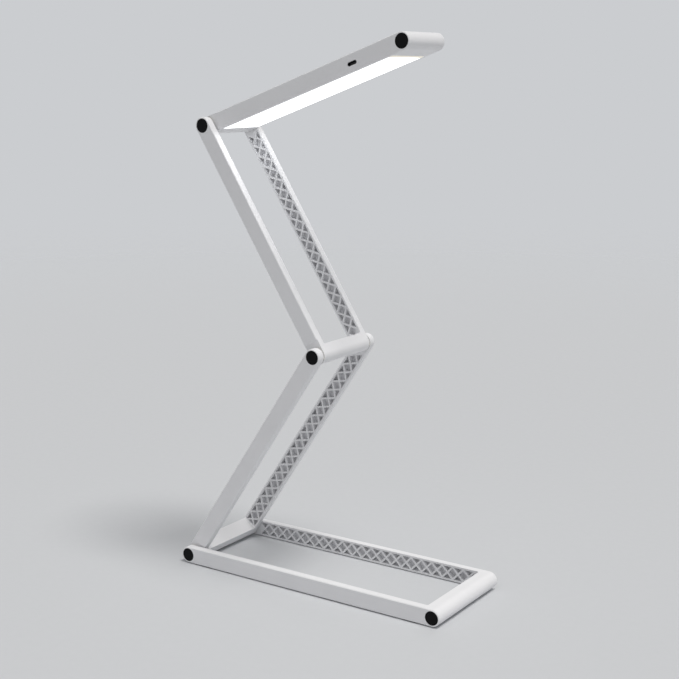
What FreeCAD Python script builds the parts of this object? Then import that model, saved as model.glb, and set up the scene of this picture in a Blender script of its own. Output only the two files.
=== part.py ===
import FreeCAD, Part
import math
import os
import re

import Sketcher
from FreeCAD import Placement, Rotation, Vector

# Accordion desk lamp. Four sections fold inside one another like a penknife:
# a base frame, a lower arm, an upper arm and a lamp head. Each frame is a U of
# two rails and one crossbar. The crossbar's full-round nose turns between the
# ears of the frame outside it, and its own rail ends are the ears for the next.
#
# The lamp stands on z = 0 with the base frame centred on the origin and its
# rails along X: hinge A is at -X, the base crossbar at +X. Millimetres.
#
# Every section is built in a frame of its own: X runs from its nose to its
# free end, Y is the hinge axis and Z its thickness. Sections are counted by
# level from the outside in: 0 base, 1 lower arm, 2 upper arm, 3 lamp head.

SIZES = (
    # sections
    ("frame_depth", 12.0, "thickness of every section"),
    ("base_width", 83.2, "width over the base rails"),
    ("base_reach", 210.0, "hinge A to the axis of the base crossbar"),
    ("rail_width", 5.6, "thickness of a rail, also of a hinge ear"),
    ("side_gap", 0.75, "free play between nested rails, each side"),
    ("end_gap", 1.5, "free play between nested ends"),
    ("edge_bevel", 0.5, "bevel on the outer edges"),
    ("corner_cut", 0.8, "bevel of the inner corners at a crossbar"),
    # lattice on the inner face of every rail
    ("outer_skin", 1.7, "wall left outside the lattice pockets"),
    ("flange", 1.4, "edge of the rail above and below the lattice"),
    ("lattice_pitch", 8.7, "length of one lattice cross"),
    ("lattice_rib", 1.3, "thickness of a lattice rib"),
    ("lattice_start", 3.9, "crossbar face to the first diamond, base and upper arm"),
    ("ear_land", 8.0, "plain end of a rail round its hinge axis, at least"),
    # opening angles in the pose shown
    ("angle_a", 56.1, "between base and lower arm, degrees"),
    ("angle_b", 113.6, "between lower arm and upper arm, degrees"),
    ("angle_c", 76.9, "between upper arm and lamp head, degrees"),
    # hinge hardware
    ("cap_rim", 1.0, "wall left round a cap, to the section's end"),
    ("cap_thickness", 1.2, "cap"),
    ("cap_fit", 0.05, "radial clearance round a cap"),
    ("bolt_radius", 2.0, "hinge bolt, which the ears turn on"),
    ("running_clearance", 0.05, "radial clearance round the bolt"),
    ("hex_across", 7.0, "bolt head and lock nut, over their flats"),
    ("hex_height", 2.2, "bolt head and lock nut"),
    ("friction_pad_side", 8.0, "square friction pad between ear and nose"),
    ("friction_pad_fit", 0.1, "clearance of its square hole round the bolt"),
    ("nose_relief", 0.6, "depth of the step beside a nose"),
    ("nose_land", 10.0, "length of that step from the hinge axis"),
    # foot pads
    ("foot_length", 16.0, "foot pad"),
    ("foot_width", 3.6, "foot pad"),
    ("foot_recess", 0.6, "depth of its seat in the rail"),
    ("foot_proud", 0.6, "height that it lifts the base"),
    ("foot_inset", 14.0, "its middle from the axis at each end"),
    # lamp head
    ("side_wall", 2.2, "side wall of the head, seen beside the diffuser"),
    ("top_wall", 1.6, "top wall of the head"),
    ("panel_land", 10.5, "end of the diffuser to the axis, at both ends"),
    ("ledge", 1.5, "ledge above the optics, all round"),
    ("panel_fit", 0.1, "clearance round the diffuser and the plate"),
    ("panel_round", 1.5, "corner radius of the diffuser"),
    ("diffuser_thickness", 1.4, "opal diffuser"),
    ("guide_thickness", 1.8, "light guide"),
    ("guide_margin", 4.0, "light guide's end to the diffuser's end"),
    ("reflector_thickness", 0.2, "reflector sheet"),
    ("chassis_thickness", 0.7, "aluminium plate over the optics"),
    ("strip_thickness", 0.3, "light strip beside the guide"),
    ("chip_depth", 0.8, "light chip, from strip to guide"),
    ("chip_length", 3.0, "light chip, along the strip"),
    ("chip_height", 1.4, "light chip"),
    ("chip_pitch", 18.0, "light chip spacing"),
    ("guide_gap", 0.05, "air between chip and guide"),
    # electronics in the head
    ("board_length", 40.0, "control board"),
    ("board_thickness", 1.0, "control board"),
    ("board_rise", 0.95, "control board above the aluminium plate"),
    ("rib_width", 1.2, "ribs under the top wall that the board bears on"),
    ("rib_inset", 3.0, "board's end to such a rib"),
    ("port_inset", 40.0, "charging port from the axis of the free end"),
    ("port_width", 7.4, "charging port shell"),
    ("port_height", 2.5, "charging port shell"),
    ("port_skin", 0.3, "charging port shell"),
    ("port_length", 5.6, "charging port shell"),
    ("port_set_back", 0.5, "its mouth behind the head's side"),
    ("port_seat", 0.6, "how far the port reaches over the board's edge"),
    ("port_fit", 0.1, "clearance round the port in the side wall"),
    ("tongue_width", 4.6, "contact tongue in the port"),
    ("tongue_thickness", 0.5, "contact tongue in the port"),
    ("tongue_length", 4.5, "contact tongue in the port"),
    ("cell_thickness", 4.4, "battery cell"),
    ("cell_margin", 3.0, "battery cell to the cavity's walls"),
    ("cell_gap", 5.0, "battery cell to control board"),
    ("foam_inset", 2.0, "foam pad's edge to the edge of what it bears on"),
    ("tab_width", 4.0, "battery tab"),
    ("tab_thickness", 0.2, "battery tab"),
    ("tab_spread", 12.0, "between the middles of the battery tabs"),
    ("touch_side", 6.0, "square touch electrode under the top wall"),
    ("touch_mark_radius", 4.5, "shallow dimple over the touch electrode"),
    ("touch_mark_depth", 0.3, "shallow dimple over the touch electrode"),
)

BASE, LOWER, UPPER, HEAD = range(4)
NEAR_ZERO = 1e-6

doc = FreeCAD.newDocument("accordion_lamp")
sheet = doc.addObject("Spreadsheet::Sheet", "Sizes")
for row, (alias, amount, meaning) in enumerate(SIZES, 1):
    sheet.set(f"A{row}", alias)
    sheet.set(f"B{row}", str(amount))
    sheet.set(f"C{row}", meaning)
    sheet.setAlias(f"B{row}", alias)
doc.recompute()


# ---------------------------------------------------------------- expressions

def cells(text):
    """Turn "frame_depth / 2" into an expression on the sheet's cells."""
    return re.sub(r"\b(?!floor\b|sqrt\b)[a-z_]+\b", lambda word: "Sizes." + word.group(), text)


def measure(text):
    """Give the number that such a text stands for."""
    return float(sheet.evalExpression(cells(text)))


def bind(thing, target, text):
    """Tie one property of an object to the sheet."""
    thing.setExpression(target, cells(text))


def width(level):
    """Width over a section's sides."""
    return f"(base_width - {2 * level} * (rail_width + side_gap))"


def reach(level):
    """Distance between a section's two axes."""
    return f"(base_reach - {level} * (frame_depth + end_gap))"


# ------------------------------------------------------------------- sketches

def new_body(name):
    """Start one sub-part."""
    body = doc.addObject("PartDesign::Body", name)
    body.Label = name
    return body


def new_sketch(body, name, role, lift=None):
    """Put a sketch on one of the body's own origin planes, lifted along its normal."""
    sketch = body.newObject("Sketcher::SketchObject", name)
    planes = [part for part in body.Origin.OriginFeatures if part.Role == role]
    sketch.AttachmentSupport = [(planes[0], "")]
    sketch.MapMode = "FlatFace"
    if lift:
        bind(sketch, "AttachmentOffset.Base.z", lift)
    return sketch


def pin(sketch, curve, point, x, y):
    """Hold a point of a curve at x, y from the sketch's origin."""
    for kind, axis, text in (("DistanceX", -2, x), ("DistanceY", -1, y)):
        value = measure(text)
        if abs(value) < NEAR_ZERO:
            sketch.addConstraint(Sketcher.Constraint("PointOnObject", curve, point, axis))
        elif value < 0:
            rule = Sketcher.Constraint(kind, curve, point, -1, 1, -value)
            number = sketch.addConstraint(rule)
            bind(sketch, f"Constraints[{number}]", f"-({text})")
        else:
            rule = Sketcher.Constraint(kind, -1, 1, curve, point, value)
            number = sketch.addConstraint(rule)
            bind(sketch, f"Constraints[{number}]", text)


def outline(sketch, corners):
    """Draw a closed outline through corners, each an x, y pair of texts."""
    spots = [Vector(measure(x), measure(y), 0) for x, y in corners]
    first = sketch.GeometryCount
    for start, end in zip(spots, spots[1:] + spots[:1]):
        sketch.addGeometry(Part.LineSegment(start, end), False)
    for place, (x, y) in enumerate(corners):
        after = first + (place + 1) % len(corners)
        sketch.addConstraint(Sketcher.Constraint("Coincident", first + place, 2, after, 1))
        pin(sketch, first + place, 1, x, y)


def rectangle(sketch, left, right, bottom, top):
    """Draw a rectangle between four texts."""
    outline(sketch, ((left, bottom), (right, bottom), (right, top), (left, top)))


def disc(sketch, x, y, radius):
    """Draw a circle."""
    middle = Vector(measure(x), measure(y), 0)
    circle = Part.Circle(middle, Vector(0, 0, 1), measure(radius))
    curve = sketch.addGeometry(circle, False)
    pin(sketch, curve, 3, x, y)
    number = sketch.addConstraint(Sketcher.Constraint("Radius", curve, measure(radius)))
    bind(sketch, f"Constraints[{number}]", radius)


def hexagon(sketch, across):
    """Draw a hexagon round the sketch's origin, measured over its flats."""
    corner = f"({across} / sqrt(3))"
    flat = f"({across} / 2)"
    outline(sketch, (
        (corner, "0"), (f"{corner} / 2", flat), (f"-{corner} / 2", flat),
        (f"-{corner}", "0"), (f"-{corner} / 2", f"-{flat}"), (f"{corner} / 2", f"-{flat}"),
    ))


def slot(sketch, left, right, y, radius):
    """Draw a slot with round ends, centred on left and right."""
    size = measure(radius)
    start = Vector(measure(left), measure(y), 0)
    end = Vector(measure(right), measure(y), 0)
    up = Vector(0, size, 0)
    normal = Vector(0, 0, 1)
    quarter = math.pi / 2
    first = sketch.GeometryCount
    sketch.addGeometry(Part.LineSegment(end + up, start + up), False)
    sketch.addGeometry(Part.ArcOfCircle(Part.Circle(start, normal, size), quarter, 3 * quarter), False)
    sketch.addGeometry(Part.LineSegment(start - up, end - up), False)
    sketch.addGeometry(Part.ArcOfCircle(Part.Circle(end, normal, size), -quarter, quarter), False)
    for place in range(4):
        after = first + (place + 1) % 4
        sketch.addConstraint(Sketcher.Constraint("Tangent", first + place, 2, after, 1))
    for curve, x in ((first + 1, left), (first + 3, right)):
        pin(sketch, curve, 3, x, y)
    number = sketch.addConstraint(Sketcher.Constraint("Radius", first + 1, size))
    bind(sketch, f"Constraints[{number}]", radius)


# ------------------------------------------------------------------- features

def pad(body, name, sketch, length, symmetric=False):
    """Raise a sketch along its normal, or to both sides of its plane."""
    feature = body.newObject("PartDesign::Pad", name)
    feature.Profile = sketch
    feature.SideType = "Symmetric" if symmetric else "One side"
    bind(feature, "Length", length)
    return feature


def cut(body, name, sketch, length=None, symmetric=False, forwards=False):
    """Cut a sketch into the body, by a length or right through."""
    before = body.Shape.Volume if body.Shape.isValid() else 0
    feature = body.newObject("PartDesign::Pocket", name)
    feature.Profile = sketch
    feature.SideType = "Symmetric" if symmetric else "One side"
    feature.Reversed = forwards
    if length:
        bind(feature, "Length", length)
    else:
        feature.Type = "ThroughAll"
    doc.recompute()
    if not feature.Shape.Volume < before:
        raise RuntimeError(f"{name} cuts nothing")
    return feature


def repeat(body, name, feature, spacing, count):
    """Repeat a feature along X."""
    axes = [part for part in body.Origin.OriginFeatures if part.Role == "X_Axis"]
    pattern = body.newObject("PartDesign::LinearPattern", name)
    pattern.Originals = [feature]
    pattern.Direction = (axes[0], [""])
    pattern.Mode = "Spacing"
    bind(pattern, "Offset", spacing)
    bind(pattern, "Occurrences", count)
    body.Tip = pattern


def turn(body, name, profiles, subtract=False, centre="0"):
    """Turn outlines in the XY plane round an axis along Y, centre away from the origin."""
    before = body.Shape.Volume if subtract else 0
    sketch = new_sketch(body, name + "_profile", "XY_Plane")
    line = sketch.addGeometry(Part.LineSegment(
        Vector(measure(centre), 0, 0), Vector(measure(centre), measure("frame_depth"), 0)), True)
    pin(sketch, line, 1, centre, "0")
    pin(sketch, line, 2, centre, "frame_depth")
    for corners in profiles:
        outline(sketch, corners)
    feature = body.newObject("PartDesign::Groove" if subtract else "PartDesign::Revolution", name)
    feature.Profile = sketch
    feature.ReferenceAxis = (sketch, ["Axis0"])
    feature.Angle = 360
    doc.recompute()
    if subtract and not feature.Shape.Volume < before:
        raise RuntimeError(f"{name} cuts nothing")


def dress_edges(body, kind, name, size, chosen):
    """Put a Fillet or a Chamfer on those edges of the body that a test picks."""
    doc.recompute()
    base = body.Tip
    edges = [f"Edge{n}" for n, edge in enumerate(base.Shape.Edges, 1) if chosen(edge)]
    if not edges:
        raise RuntimeError(f"{name} finds no edge")
    feature = body.newObject(f"PartDesign::{kind}", name)
    feature.Base = (base, edges)
    bind(feature, "Radius" if kind == "Fillet" else "Size", size)
    doc.recompute()


def at(value, *places):
    """Say whether a coordinate is at one of the places."""
    return min(abs(value - place) for place in places) < NEAR_ZERO


def both_sides(steps):
    """Write an outline of x, y texts for the near side and, mirrored, the far side."""
    return [[(x, sign + y) for x, y in steps] for sign in ("", "-")]


# --------------------------------------------------------- where sections stand

def heading(level):
    """Angle of a section's X axis above the table, in degrees."""
    angles = [180.0, measure("angle_a")]
    angles.append(angles[1] + 180 - measure("angle_b"))
    angles.append(angles[2] - 180 + measure("angle_c"))
    return angles[level]


def hinge_point(level):
    """Point where a section's own axis lies: the crossbar end of the base, then A, B, C."""
    point = Vector(measure(reach(BASE)) / 2, 0, measure("foot_proud + frame_depth / 2"))
    for inner in range(level):
        angle = math.radians(heading(inner))
        point = point + Vector(math.cos(angle), 0, math.sin(angle)) * measure(reach(inner))
    return point


def stand(thing, level):
    """Put a sub-part where its section is in the pose shown.

    The arms and the head tilt about their hinge axis. The base lies the right
    way up, swung round so that its crossbar is at +X.
    """
    tilt = Rotation(Vector(0, 1, 0), -heading(level))
    about_face = Rotation(Vector(0, 0, 1), heading(BASE))
    thing.Placement = Placement(hinge_point(level), about_face if level == BASE else tilt)


# ------------------------------------------------------------- section outline

CAP_POCKET = "(frame_depth / 2 - cap_rim)"
HARDWARE_DEPTH = "(cap_thickness + hex_height)"


def section_slab(body, level):
    """Slab with full-round ends that every section is cut from."""
    side = new_sketch(body, "side_view", "XZ_Plane")
    slot(side, "0", reach(level), "0", "frame_depth / 2")
    pad(body, "slab", side, width(level), symmetric=True)
    edge_plane = measure(width(level)) / 2
    dress_edges(body, "Chamfer", "outer_bevel", "edge_bevel",
                lambda edge: at(abs(edge.CenterOfMass.y), edge_plane))


def relieve_nose(body, level):
    """Step back both sides of a nose, for the friction pads."""
    plan = new_sketch(body, "nose_relief_plan", "XY_Plane")
    outer = f"{width(level)} / 2"
    floor_line = f"({outer} - nose_relief)"
    for low, high in ((floor_line, outer), (f"-{outer}", f"-{floor_line}")):
        rectangle(plan, "-frame_depth / 2", "nose_land", low, high)
    cut(body, "nose_relief_cut", plan, symmetric=True)


def bolt_holes(body, *axes):
    """Bore right through a section along its hinge axes, for the bolts."""
    view = new_sketch(body, "bolt_view", "XZ_Plane")
    for axis in axes:
        disc(view, axis, "0", "(bolt_radius + running_clearance)")
    cut(body, "bolt_bores", view, symmetric=True)


def cap_pockets(body, level, axis, depth):
    """Sink a round pocket into both sides of a section, for its caps and what they cover."""
    face = f"({width(level)} / 2)"
    floor_line = f"({face} - {depth})"
    turn(body, "cap_pockets", both_sides((
        (axis, face),
        (f"({axis} + {CAP_POCKET})", face),
        (f"({axis} + {CAP_POCKET})", floor_line),
        (axis, floor_line),
    )), subtract=True, centre=axis)


# --------------------------------------------------------------- the X lattice

def lattice(body, level):
    """Sink a row of crosses into both rails.

    Ribs run corner to corner of each pitch. What is left between them is a
    row of diamonds, with a triangle above and below every crossing. The lower
    arm's row is half a pitch out of step with the others, so that it begins
    with half a diamond against the crossbar. Every cut from the middle plane
    reaches into both rails as far as their outer skin.
    """
    tall = "(frame_depth - 2 * flange)"
    slope = f"sqrt(lattice_pitch * lattice_pitch + {tall} * {tall})"
    half_wide = f"(lattice_pitch / 2 - lattice_rib / 2 * {slope} / {tall})"
    half_tall = f"({tall} / 2 - lattice_rib / 2 * {slope} / lattice_pitch)"
    crossing = f"(lattice_rib / 2 * {slope} / lattice_pitch)"
    bar_face = "(frame_depth / 2)"
    last = f"({reach(level)} - ear_land - {half_wide})"
    span = f"({width(level)} - 2 * outer_skin)"

    if level == LOWER:
        first_crossing = f"({bar_face} + lattice_pitch / 2)"
        first_diamond = f"({bar_face} + lattice_pitch)"
        view = new_sketch(body, "half_diamond", "XZ_Plane")
        start_tall = f"({half_tall} * (1 - corner_cut / {half_wide}))"
        outline(view, (
            (f"({bar_face} + corner_cut)", f"-{start_tall}"),
            (f"({bar_face} + {half_wide})", "0"),
            (f"({bar_face} + corner_cut)", start_tall),
        ))
        cut(body, "half_diamond_pocket", view, span, symmetric=True)
    else:
        first_diamond = f"({bar_face} + lattice_start)"
        first_crossing = f"({first_diamond} + lattice_pitch / 2)"

    view = new_sketch(body, "diamond", "XZ_Plane")
    outline(view, (
        (f"({first_diamond} - {half_wide})", "0"),
        (first_diamond, f"-{half_tall}"),
        (f"({first_diamond} + {half_wide})", "0"),
        (first_diamond, half_tall),
    ))
    diamond = cut(body, "diamond_pocket", view, span, symmetric=True)
    repeat(body, "diamond_row", diamond, "lattice_pitch",
           f"floor(({last} - {first_diamond}) / lattice_pitch + 1)")

    view = new_sketch(body, "triangles", "XZ_Plane")
    for sign in ("", "-"):
        outline(view, (
            (f"({first_crossing} - {half_wide})", f"{sign}{tall} / 2"),
            (first_crossing, sign + crossing),
            (f"({first_crossing} + {half_wide})", f"{sign}{tall} / 2"),
        ))
    pair = cut(body, "triangle_pocket", view, span, symmetric=True)
    repeat(body, "triangle_row", pair, "lattice_pitch",
           f"floor(({last} - {first_crossing}) / lattice_pitch + 1)")


# ------------------------------------------------------------------ the frames

def frame(name, level):
    """One U-shaped frame in a single moulding."""
    body = new_body(name)
    section_slab(body, level)
    plan = new_sketch(body, "opening_plan", "XY_Plane")
    inner = f"({width(level)} / 2 - rail_width)"
    rectangle(plan, "frame_depth / 2", f"{reach(level)} + frame_depth / 2", f"-{inner}", inner)
    cut(body, "opening", plan, symmetric=True)
    dress_edges(body, "Chamfer", "opening_corners", "corner_cut",
                lambda edge: at(edge.CenterOfMass.x, measure("frame_depth / 2"))
                and at(abs(edge.CenterOfMass.y), measure(inner)))
    lattice(body, level)
    cap_pockets(body, level, reach(level), HARDWARE_DEPTH)
    if level == BASE:
        bolt_holes(body, reach(level))
        cap_pockets(body, level, "0", "cap_thickness")
        seat = new_sketch(body, "foot_seats", "XY_Plane", "foot_recess - frame_depth / 2")
        foot_outlines(seat)
        cut(body, "foot_seat_cuts", seat)
    else:
        relieve_nose(body, level)
        bolt_holes(body, "0", reach(level))
    stand(body, level)


def foot_outlines(sketch):
    """Draw the four foot pads, under the rails near their ends."""
    for middle in ("foot_inset", f"({reach(BASE)} - foot_inset)"):
        for sign in ("", "-"):
            line = f"{sign}({width(BASE)} / 2 - rail_width / 2)"
            rectangle(sketch, f"({middle} - foot_length / 2)", f"({middle} + foot_length / 2)",
                      f"({line} - foot_width / 2)", f"({line} + foot_width / 2)")


def foot_pads():
    """Four soft pads set into the base rails."""
    body = new_body("foot_pads")
    plan = new_sketch(body, "pads_plan", "XY_Plane", "-frame_depth / 2 - foot_proud")
    foot_outlines(plan)
    pad(body, "pads", plan, "foot_recess + foot_proud")
    stand(body, BASE)


# -------------------------------------------------------------- hinge hardware

def caps(name, level, *spots):
    """Pairs of caps that move with a section.

    Each spot is a place along the section and the level of the section whose
    sides the pair is flush with.
    """
    body = new_body(name)
    for number, (axis, outer_level) in enumerate(spots, 1):
        face = f"({width(outer_level)} / 2)"
        rim = f"({axis} + {CAP_POCKET} - cap_fit)"
        back = f"({face} - cap_thickness)"
        profile = ((axis, face), (rim, face), (rim, back), (axis, back))
        turn(body, f"cap_pair_{number}", both_sides(profile), centre=axis)
    stand(body, level)


def hinge(letter, level):
    """Hardware of one hinge, which turns with the inner section.

    One bolt runs right through the nose and both ears of the outer section, of
    this level. It clamps the nose and two friction pads between the ears, and
    the ears turn on it.
    """
    face = f"{width(level)} / 2"
    seat = f"({face} - {HARDWARE_DEPTH})"
    outer_end = f"({seat} + hex_height)"

    body = new_body(f"hinge_bolt_{letter}")
    view = new_sketch(body, "shank_view", "XZ_Plane", f"-{outer_end}")
    disc(view, "0", "0", "bolt_radius")
    pad(body, "shank", view, f"2 * {outer_end}")
    view = new_sketch(body, "head_view", "XZ_Plane", seat)
    hexagon(view, "hex_across")
    pad(body, "head", view, "hex_height")
    stand(body, level + 1)

    body = new_body(f"lock_nut_{letter}")
    view = new_sketch(body, "nut_view", "XZ_Plane", f"-{outer_end}")
    hexagon(view, "hex_across")
    disc(view, "0", "0", "bolt_radius")
    pad(body, "nut", view, "hex_height")
    stand(body, level + 1)

    body = new_body(f"friction_pads_{letter}")
    gap = "(side_gap + nose_relief)"
    nose_face = f"({face} - rail_width - {gap})"
    half = "friction_pad_side / 2"
    hole = "(bolt_radius + friction_pad_fit)"
    for side, lift in (("near", nose_face), ("far", f"-{nose_face} - {gap}")):
        view = new_sketch(body, f"{side}_pad_view", "XZ_Plane", lift)
        rectangle(view, f"-{half}", half, f"-{half}", half)
        rectangle(view, f"-{hole}", hole, f"-{hole}", hole)
        pad(body, f"{side}_pad", view, gap)
    stand(body, level + 1)


# ------------------------------------------------------------------- lamp head

HALF_HEAD = f"({width(HEAD)} / 2)"
UNDERSIDE = "(-frame_depth / 2)"
GUIDE_FLOOR = f"({UNDERSIDE} + diffuser_thickness)"
REFLECTOR_FLOOR = f"({GUIDE_FLOOR} + guide_thickness)"
CHASSIS_FLOOR = f"({REFLECTOR_FLOOR} + reflector_thickness)"
CHASSIS_TOP = f"({CHASSIS_FLOOR} + chassis_thickness)"
CEILING = "(frame_depth / 2 - top_wall)"
PANEL_START = "panel_land"
PANEL_END = f"({reach(HEAD)} - panel_land)"
OPTICS_HALF = f"({HALF_HEAD} - side_wall)"
CAVITY_START = f"({PANEL_START} + ledge)"
CAVITY_END = f"({PANEL_END} - ledge)"
CAVITY_HALF = f"({OPTICS_HALF} - ledge)"
PORT_PLACE = f"({reach(HEAD)} - port_inset)"
BOARD_FLOOR = f"({CHASSIS_TOP} + board_rise)"
BOARD_TOP = f"({BOARD_FLOOR} + board_thickness)"
PORT_AXIS = f"({BOARD_FLOOR} + board_thickness / 2)"
BOARD_START = f"({PORT_PLACE} - board_length / 2)"
BOARD_END = f"({PORT_PLACE} + board_length / 2)"
PORT_BACK = f"({HALF_HEAD} - port_set_back - port_length)"
BOARD_HALF = f"({PORT_BACK} + port_seat)"
CELL_START = f"({CAVITY_START} + cell_margin)"
CELL_END = f"({BOARD_START} - cell_gap)"
CELL_HALF = f"({CAVITY_HALF} - cell_margin)"
CELL_TOP = f"({CHASSIS_TOP} + cell_thickness)"


def port_outline(sketch, fit):
    """Draw the charging port's rounded shape, grown by a fit, as seen from the side."""
    radius = f"(port_height / 2 + {fit})"
    half = "(port_width / 2 - port_height / 2)"
    slot(sketch, f"({PORT_PLACE} - {half})", f"({PORT_PLACE} + {half})", PORT_AXIS, radius)


def head_housing():
    """Moulded shell of the head, open below for the light panel."""
    body = new_body("head_housing")
    section_slab(body, HEAD)

    plan = new_sketch(body, "optics_plan", "XY_Plane", CHASSIS_TOP)
    rectangle(plan, PANEL_START, PANEL_END, f"-{OPTICS_HALF}", OPTICS_HALF)
    cut(body, "optics_well", plan)
    dress_edges(body, "Fillet", "optics_corners", "panel_round",
                lambda edge: at(edge.CenterOfMass.x, measure(PANEL_START), measure(PANEL_END))
                and at(abs(edge.CenterOfMass.y), measure(OPTICS_HALF)))

    plan = new_sketch(body, "cavity_plan", "XY_Plane", CEILING)
    rectangle(plan, CAVITY_START, CAVITY_END, f"-{CAVITY_HALF}", CAVITY_HALF)
    cut(body, "cavity", plan)

    plan = new_sketch(body, "ribs_plan", "XY_Plane", BOARD_TOP)
    for start in (f"({BOARD_START} + rib_inset)", f"({BOARD_END} - rib_inset - rib_width)"):
        rectangle(plan, start, f"({start} + rib_width)", f"-{CAVITY_HALF}", CAVITY_HALF)
    pad(body, "board_ribs", plan, f"{CEILING} - {BOARD_TOP}")
    doc.recompute()

    side_view = new_sketch(body, "port_view", "XZ_Plane")
    port_outline(side_view, "port_fit")
    cut(body, "port_window", side_view, forwards=True)

    plan = new_sketch(body, "touch_plan", "XY_Plane", "frame_depth / 2")
    disc(plan, PORT_PLACE, "0", "touch_mark_radius")
    cut(body, "touch_mark", plan, "touch_mark_depth")

    relieve_nose(body, HEAD)
    bolt_holes(body, "0")
    cap_pockets(body, HEAD, reach(HEAD), "cap_thickness")
    stand(body, HEAD)


def head_plate(name, left, right, half, floor_line, thickness, corners=None):
    """Flat piece of the head's stack, centred across it, with Fillet or Chamfer corners."""
    body = new_body(name)
    plan = new_sketch(body, "plan", "XY_Plane", floor_line)
    rectangle(plan, left, right, f"-{half}", half)
    pad(body, "plate", plan, thickness)
    if corners:
        dress_edges(body, corners, "corners", "panel_round",
                    lambda edge: abs(edge.tangentAt(edge.FirstParameter).z) > 1 - NEAR_ZERO)
    stand(body, HEAD)


def optics():
    """Diffuser, light guide, reflector, light strips and the plate over them."""
    fit_half = f"({OPTICS_HALF} - panel_fit)"
    fit_start = f"({PANEL_START} + panel_fit)"
    fit_end = f"({PANEL_END} - panel_fit)"
    head_plate("diffuser", fit_start, fit_end, fit_half, UNDERSIDE, "diffuser_thickness", "Fillet")
    head_plate("chassis_plate", fit_start, fit_end, fit_half, CHASSIS_FLOOR, "chassis_thickness",
               "Chamfer")

    guide_start = f"({PANEL_START} + guide_margin)"
    guide_end = f"({PANEL_END} - guide_margin)"
    strip_inner = f"({fit_half} - strip_thickness)"
    chip_inner = f"({strip_inner} - chip_depth)"
    guide_half = f"({chip_inner} - guide_gap)"
    head_plate("light_guide", guide_start, guide_end, guide_half, GUIDE_FLOOR, "guide_thickness")
    head_plate("reflector_sheet", guide_start, guide_end, strip_inner, REFLECTOR_FLOOR,
               "reflector_thickness")

    body = new_body("light_strips")
    plan = new_sketch(body, "strips_plan", "XY_Plane", GUIDE_FLOOR)
    rectangle(plan, guide_start, guide_end, strip_inner, fit_half)
    rectangle(plan, guide_start, guide_end, f"-{fit_half}", f"-{strip_inner}")
    pad(body, "strips", plan, "guide_thickness")
    stand(body, HEAD)

    body = new_body("light_chips")
    plan = new_sketch(body, "chips_plan", "XY_Plane",
                      f"{GUIDE_FLOOR} + guide_thickness / 2 - chip_height / 2")
    first = f"({guide_start} + chip_pitch / 2)"
    left = f"({first} - chip_length / 2)"
    right = f"({first} + chip_length / 2)"
    rectangle(plan, left, right, chip_inner, strip_inner)
    rectangle(plan, left, right, f"-{strip_inner}", f"-{chip_inner}")
    chips = pad(body, "chips", plan, "chip_height")
    doc.recompute()
    repeat(body, "chip_row", chips, "chip_pitch", f"floor(({guide_end} - {guide_start}) / chip_pitch)")
    stand(body, HEAD)


def electronics():
    """Battery cell, control board and what holds and joins them."""
    head_plate("battery_cell", CELL_START, CELL_END, CELL_HALF, CHASSIS_TOP, "cell_thickness")
    head_plate("battery_pad", f"({CELL_START} + foam_inset)", f"({CELL_END} - foam_inset)",
               f"({CELL_HALF} - foam_inset)", CELL_TOP, f"({CEILING} - {CELL_TOP})")
    head_plate("board_pad", f"({BOARD_START} + foam_inset)", f"({BOARD_END} - foam_inset)",
               f"({BOARD_HALF} - foam_inset)", CHASSIS_TOP, "board_rise")
    head_plate("touch_electrode", f"({PORT_PLACE} - touch_side / 2)",
               f"({PORT_PLACE} + touch_side / 2)", "(touch_side / 2)", BOARD_TOP,
               f"({CEILING} - {BOARD_TOP})")

    body = new_body("control_board")
    plan = new_sketch(body, "board_plan", "XY_Plane", BOARD_FLOOR)
    rectangle(plan, BOARD_START, BOARD_END, f"-{BOARD_HALF}", BOARD_HALF)
    pad(body, "board", plan, "board_thickness")
    doc.recompute()
    plan = new_sketch(body, "port_notch_plan", "XY_Plane")
    half = "(port_width / 2 + port_fit)"
    rectangle(plan, f"({PORT_PLACE} - {half})", f"({PORT_PLACE} + {half})",
              f"-{BOARD_HALF}", f"-({PORT_BACK} - port_fit)")
    cut(body, "port_notch", plan, symmetric=True)
    stand(body, HEAD)

    body = new_body("battery_tabs")
    plan = new_sketch(body, "tabs_plan", "XY_Plane", BOARD_TOP)
    for middle in ("tab_spread / 2", "-tab_spread / 2"):
        rectangle(plan, CELL_END, f"({BOARD_START} + rib_inset)",
                  f"({middle} - tab_width / 2)", f"({middle} + tab_width / 2)")
    pad(body, "tabs", plan, "tab_thickness")
    stand(body, HEAD)


def charging_port():
    """Metal port shell with its contact tongue, mouth towards the near side."""
    body = new_body("charging_port")
    view = new_sketch(body, "shell_view", "XZ_Plane", PORT_BACK)
    port_outline(view, "0")
    pad(body, "shell", view, "port_length")
    view = new_sketch(body, "mouth_view", "XZ_Plane", f"{PORT_BACK} + port_skin")
    port_outline(view, "-port_skin")
    doc.recompute()
    cut(body, "mouth", view, forwards=True)
    view = new_sketch(body, "tongue_view", "XZ_Plane", PORT_BACK)
    rectangle(view, f"({PORT_PLACE} - tongue_width / 2)", f"({PORT_PLACE} + tongue_width / 2)",
              f"({PORT_AXIS} - tongue_thickness / 2)", f"({PORT_AXIS} + tongue_thickness / 2)")
    pad(body, "tongue", view, "tongue_length")
    stand(body, HEAD)


# ---------------------------------------------------------------- build it all

frame("base_frame", BASE)
foot_pads()
caps("base_caps", BASE, ("0", BASE))
frame("lower_arm_frame", LOWER)
caps("lower_arm_caps", LOWER, ("0", BASE))
frame("upper_arm_frame", UPPER)
caps("upper_arm_caps", UPPER, ("0", LOWER))
for letter, outer_level in (("a", BASE), ("b", LOWER), ("c", UPPER)):
    hinge(letter, outer_level)
head_housing()
caps("head_caps", HEAD, ("0", UPPER), (reach(HEAD), HEAD))
optics()
electronics()
charging_port()

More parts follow.
